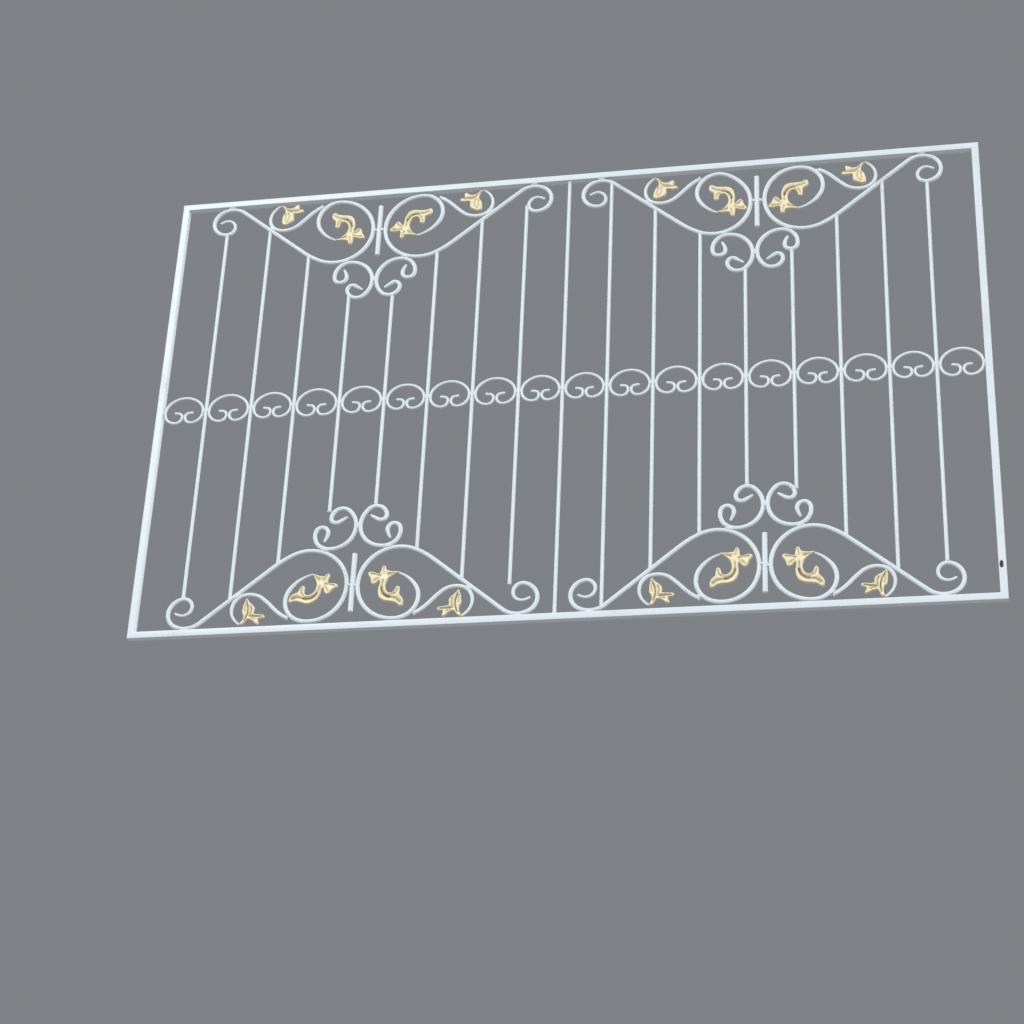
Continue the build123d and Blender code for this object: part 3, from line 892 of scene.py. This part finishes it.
def weld_points():
    """Places (x, y, z), directions and sizes, in bead widths, of every bead."""
    bead = bpy.context.scene.grille_shape.bead
    found = []

    def both_faces(middle, ahead, reach, size):
        """A bead on the front and one on the back, that far from the plane of the rods."""
        for face in (-1, 1):
            found.append(((middle[0], face * reach, middle[1]), (ahead[0], 0, ahead[1]), size))

    curls = {}
    for half in halves():
        points, radius = half.scroll
        top = (points[:, 1] * half.level + radius).argmax()
        at_rail = (points[top, 0], half.rail - half.level * MM)
        both_faces(at_rail, (1, 0), 4.5 * MM, RAIL_BEAD)
        both_faces(*contact(half.scroll, half.curl), 4.2 * MM, ROD_BEAD)
        both_faces(*contact(half.branch, half.straight), 4 * MM, ROD_BEAD)
        end = half.branch[0][-1]
        found.append(((end[0], 0, end[1]), (half.hand, 0, 0), BRANCH_END_BEAD))
        stay = half.middle + STAY_SHIFTS[half.group] + half.hand * STAY_RADIUS
        points, radius = half.straight
        near = np.abs(points[:, 0] - half.middle).argmin()
        loop = points[near, 0] - half.hand * radius[near]
        size = (abs(loop - stay) / bead + STAY_BEAD_EXTRA, STAY_BEAD_WIDTH, STAY_BEAD_WIDTH)
        for lean in STAY_LEANS:
            both_faces(((stay + loop) / 2, points[near, 1]), (half.hand, lean), 4.2 * MM, size)
        if half.group in curls:
            both_faces(*contact(curls[half.group], half.curl), 4.2 * MM, CURL_BEAD)
        curls[half.group] = half.curl
    for bar in BARS:
        low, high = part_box(bar)
        for z, level in ((low.z, -1), (high.z, 1)):
            place = ((low.x + high.x) / 2, 0, z - level * 3 * MM)
            found.append((place, (0, 0, 1), BAR_END_BEAD))
    for points, radius in band_runs():
        for side, pick in ((-1, points[:, 0].argmin()), (1, points[:, 0].argmax())):
            middle = (points[pick, 0] + side * radius[0], points[pick, 1])
            both_faces(middle, (0, 1), 3 * MM, BAND_BEAD)
    return found


# Frame

# The corners (side, level) that each tube runs between
TUBES = {
    "left_stile": ((-1, -1), (-1, 1)), "right_stile": ((1, -1), (1, 1)),
    "bottom_rail": ((-1, -1), (1, -1)), "top_rail": ((-1, 1), (1, 1)),
}
TUBE_RINGS = 25
CORNER_PARTS = 5
SHARP_ANGLE = math.radians(35)


def tube_section(corner):
    """Points round a tube: distance in from the outside of the frame, and y."""
    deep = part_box("left_stile")[1].y
    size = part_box("left_stile")[1].x - cad_box[0].x
    section = []
    for cx, cy, turn in (
            (size - corner, deep - corner, 0), (corner, deep - corner, 90),
            (corner, corner - deep, 180), (size - corner, corner - deep, 270)):
        for k in range(CORNER_PARTS + 1):
            a = math.radians(turn + 90 * k / CORNER_PARTS)
            section.append((cx + corner * math.cos(a), cy + corner * math.sin(a)))
    return section


def mitre_point(side, level, inward, y):
    """The point that lies so far in from both outsides at a corner of the frame."""
    low, high = cad_box
    x = high.x - inward if side > 0 else low.x + inward
    z = high.z - inward if level > 0 else low.z + inward
    return Vector((x, y, z))


# Operators

class GRILLE_OT_frame(bpy.types.Operator):
    """Makes the four mitred lengths of square tube with their drawn corners"""

    bl_idname = "grille.frame"
    bl_label = "Frame Tubes"

    def execute(self, context):
        section = tube_section(context.scene.grille_shape.corner)
        for name, ends in TUBES.items():
            build = bmesh.new()
            start, stop = (
                [mitre_point(side, level, inward, y) for inward, y in section]
                for side, level in ends)
            rings = [
                [build.verts.new(a.lerp(b, share)) for a, b in zip(start, stop)]
                for share in np.linspace(0, 1, TUBE_RINGS)]
            for one, two in zip(rings, rings[1:]):
                for k in range(len(section)):
                    m = (k + 1) % len(section)
                    build.faces.new((one[k], one[m], two[m], two[k]))
            build.faces.new(rings[0][::-1])
            build.faces.new(rings[-1])
            bmesh.ops.recalc_face_normals(build, faces=build.faces)
            mesh = bpy.data.meshes.new(name + "_tube")
            build.to_mesh(mesh)
            build.free()
            mesh.shade_smooth()
            mesh.set_sharp_from_angle(angle=SHARP_ANGLE)
            mesh.materials.append(finish_named("brushed_white"))
            fitted(added(name + "_tube", mesh), "white_paint", name)
        return {"FINISHED"}


class GRILLE_OT_bars(bpy.types.Operator):
    """Paints the upright bars and the short uprights between the loops"""

    bl_idname = "grille.bars"
    bl_label = "Upright Bars"

    def execute(self, context):
        paint = finish_named("brushed_white")
        for name in (*BARS, "loop_stays"):
            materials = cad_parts[name].data.materials
            materials.clear()
            materials.append(paint)
        return {"FINISHED"}


class GRILLE_OT_scrolls(bpy.types.Operator):
    """Sweeps the large, branch and small scrolls and the band from their chains of bends"""

    bl_idname = "grille.scrolls"
    bl_label = "Forged Scrolls"

    def execute(self, context):
        settings = {
            "Sides": 28, "Hammer marks": context.scene.grille_shape.hammer,
            "Finish": finish_named("brushed_white")}
        pairs = {}
        for half in halves():
            node = f"{half.group}_{half.hand_name}_scroll"
            piece = rods(node + "_rod", [rounded_ends(*half.scroll)], settings)
            fitted(piece, "white_paint", node)
            for kind, run in (("branch", half.branch), ("small", half.curl)):
                pairs.setdefault(f"{half.group}_{kind}_scrolls", []).append(rounded_ends(*run))
        for node, runs in pairs.items():
            fitted(rods(node + "_rods", runs, settings), "white_paint", node)
        bands = [rounded_ends(*run) for run in band_runs()]
        middle = len(bands) // 2
        settings["Sides"] = 20
        for name, runs in (("left", bands[:middle]), ("right", bands[middle:])):
            piece = rods(name + "_band_rods", runs, settings)
            fitted(piece, "white_paint", name + "_band_scrolls")
        return {"FINISHED"}


class GRILLE_OT_leaves(bpy.types.Operator):
    """Models the cast leaves with their raised rims, troughs and creases"""

    bl_idname = "grille.leaves"
    bl_label = "Cast Leaves"

    def execute(self, context):
        relief = context.scene.grille_shape.relief
        groups = {}
        for half in halves():
            verts, faces, hollow = groups.setdefault(half.group, ([], [], []))
            ends = (half.scroll[0][-1], half.branch[0][0])
            leaves = (
                (BIG_LEAF, BIG_LEAF_CREASES, TAIL_START),
                (SMALL_LEAVES[half.level], SMALL_LEAF_CREASES[half.level], -math.inf))
            for place in zip(ends, half.leaf_headings, half.leaf_turns, leaves):
                leaf_verts, leaf_faces, leaf_hollow = hung_leaf(half, *place, relief)
                faces.extend([len(verts) + k for k in face] for face in leaf_faces)
                verts.extend(leaf_verts)
                hollow.extend(leaf_hollow)
        for group, (verts, faces, hollow) in groups.items():
            mesh = bpy.data.meshes.new(group + "_castings")
            mesh.from_pydata(verts, [], faces)
            # Painted shade of each point, read by the gold paint
            attribute = mesh.attributes.new("hollow", "FLOAT", "POINT")
            attribute.data.foreach_set("value", np.array(hollow, np.float32))
            mesh.update()
            mesh.shade_smooth()
            mesh.materials.append(finish_named("shaded_worn_gold"))
            fitted(added(group + "_castings", mesh), "gold_paint", group + "_leaves")
        return {"FINISHED"}


class GRILLE_OT_welds(bpy.types.Operator):
    """Lays weld beads where rods meet each other, the bars and the rails"""

    bl_idname = "grille.welds"
    bl_label = "Weld Beads"

    def execute(self, context):
        places, along, share = zip(*weld_points())
        mesh = bpy.data.meshes.new("weld_places")
        mesh.from_pydata(places, [], [])
        for name, values in (("along", along), ("share", share)):
            attribute = mesh.attributes.new(name, "FLOAT_VECTOR", "POINT")
            attribute.data.foreach_set("vector", np.array(values, np.float32).ravel())
        settings = {
            "Bead width": context.scene.grille_shape.bead, "Seed": 7,
            "Finish": finish_named("brushed_white")}
        source = added("weld_places", mesh)
        piece = grown(source, tree_named("weld_beads", weld_tree), settings, "weld_beads")
        fitted(piece, "white_paint")
        return {"FINISHED"}


# Studio

FLOOR_REACH = 60.0
SKY = (0.93, 0.96, 1.0)

# Name, place, width, power as a share of the key lamp's, and colour; all shine on one point
LAMPS = (
    ("key_lamp", (-3.2, -5.2, 4.6), 3.2, 1.0, (1.0, 0.99, 0.97)),
    ("low_lamp", (3.4, -4.6, -1.8), 3.6, 0.42, (0.95, 0.97, 1.0)),
    ("back_lamp", (2.6, 4.8, 3.6), 3.0, 0.38, (0.96, 0.98, 1.0)),
)
LAMP_TARGET = Vector((0.0, 0.0, 0.74))

# The camera stands low in front, a little to the right; lens in mm and turns in degrees
CAMERA_PLACE = (1.0452, -5.5415, -2.7487)
CAMERA_TURN = (118.638, -2.368, 10.644)
CAMERA_LENS = 82.02
CAMERA_SENSOR = 36.0
CAMERA_RANGE = (0.05, 200.0)


class GRILLE_OT_stage(bpy.types.Operator):
    """Sets the floor, the lamps, the background and the camera"""

    bl_idname = "grille.stage"
    bl_label = "Studio"

    def execute(self, context):
        scene = context.scene
        stage = scene.grille_stage
        floor_mesh = bpy.data.meshes.new("studio_floor")
        corners = ((-1, -1), (1, -1), (1, 1), (-1, 1))
        floor_mesh.from_pydata(
            [(x * FLOOR_REACH, y * FLOOR_REACH, stage.ground) for x, y in corners],
            [], [(0, 1, 2, 3)])
        floor = added("studio_floor", floor_mesh)
        paint, maker = new_material("studio_floor")
        end_material(maker, {
            "Base Color": solid(stage.floor), "Roughness": 0.9, "Specular IOR Level": 0.1})
        floor_mesh.materials.append(paint)

        world = bpy.data.worlds.new("studio")
        world.use_nodes = True
        scene.world = world
        maker = NodeMaker(world.node_tree)
        path = maker.node("ShaderNodeLightPath", output="Is Camera Ray")
        seen = path.larger(path.other("Is Glossy Ray").larger(path.other("Is Transmission Ray")))
        light = maker.node("ShaderNodeBackground", values={
            "Color": solid(SKY), "Strength": stage.fill})
        shown = maker.node("ShaderNodeBackground", values={
            "Color": solid(stage.backdrop), "Strength": 1.0})
        mixed = maker.node("ShaderNodeMixShader", values={0: seen, 1: light, 2: shown})
        maker.node("ShaderNodeOutputWorld", values={"Surface": mixed})

        for name, place, width, share, colour in LAMPS:
            lamp = bpy.data.lights.new(name, "AREA")
            lamp.shape, lamp.size, lamp.color = "DISK", width, colour
            lamp.energy = stage.key * share
            holder = added(name, lamp)
            holder.location = place
            holder.rotation_euler = (
                LAMP_TARGET - Vector(place)).to_track_quat("-Z", "Y").to_euler()

        camera = bpy.data.cameras.new("camera")
        camera.lens, camera.sensor_width = CAMERA_LENS, CAMERA_SENSOR
        camera.clip_start, camera.clip_end = CAMERA_RANGE
        eye = added("camera", camera)
        eye.location = CAMERA_PLACE
        eye.rotation_euler = [math.radians(a) for a in CAMERA_TURN]
        scene.camera = eye
        scene.view_settings.view_transform = "Standard"
        return {"FINISHED"}


class GRILLE_PT_panel(bpy.types.Panel):
    """Settings and steps of the grille"""

    bl_idname = "GRILLE_PT_panel"
    bl_label = "Window Grille"
    bl_space_type = "VIEW_3D"
    bl_region_type = "UI"
    bl_category = "Grille"

    def draw(self, context):
        layout = self.layout
        for group in SETTINGS:
            settings = getattr(context.scene, group)
            box = layout.box()
            for name in settings.bl_rna.properties.keys():
                if name not in ("rna_type", "name"):
                    box.prop(settings, name)
        for step in OPERATORS:
            layout.operator(step.bl_idname)


SETTINGS = {
    "grille_shape": GrilleShape, "grille_finish": GrilleFinish, "grille_stage": GrilleStage}
OPERATORS = (
    GRILLE_OT_frame, GRILLE_OT_bars, GRILLE_OT_scrolls, GRILLE_OT_leaves, GRILLE_OT_welds,
    GRILLE_OT_stage)
CLASSES = (*SETTINGS.values(), *OPERATORS, GRILLE_PT_panel)


def register():
    for made in CLASSES:
        bpy.utils.register_class(made)
    for name, group in SETTINGS.items():
        setattr(bpy.types.Scene, name, bpy.props.PointerProperty(type=group))


def unregister():
    for name in SETTINGS:
        delattr(bpy.types.Scene, name)
    for made in reversed(CLASSES):
        bpy.utils.unregister_class(made)


def main():
    register()
    bpy.ops.grille.frame()
    bpy.ops.grille.bars()
    bpy.ops.grille.scrolls()
    bpy.ops.grille.leaves()
    bpy.ops.grille.welds()
    bpy.ops.grille.stage()


if __name__ == "__main__":
    main()
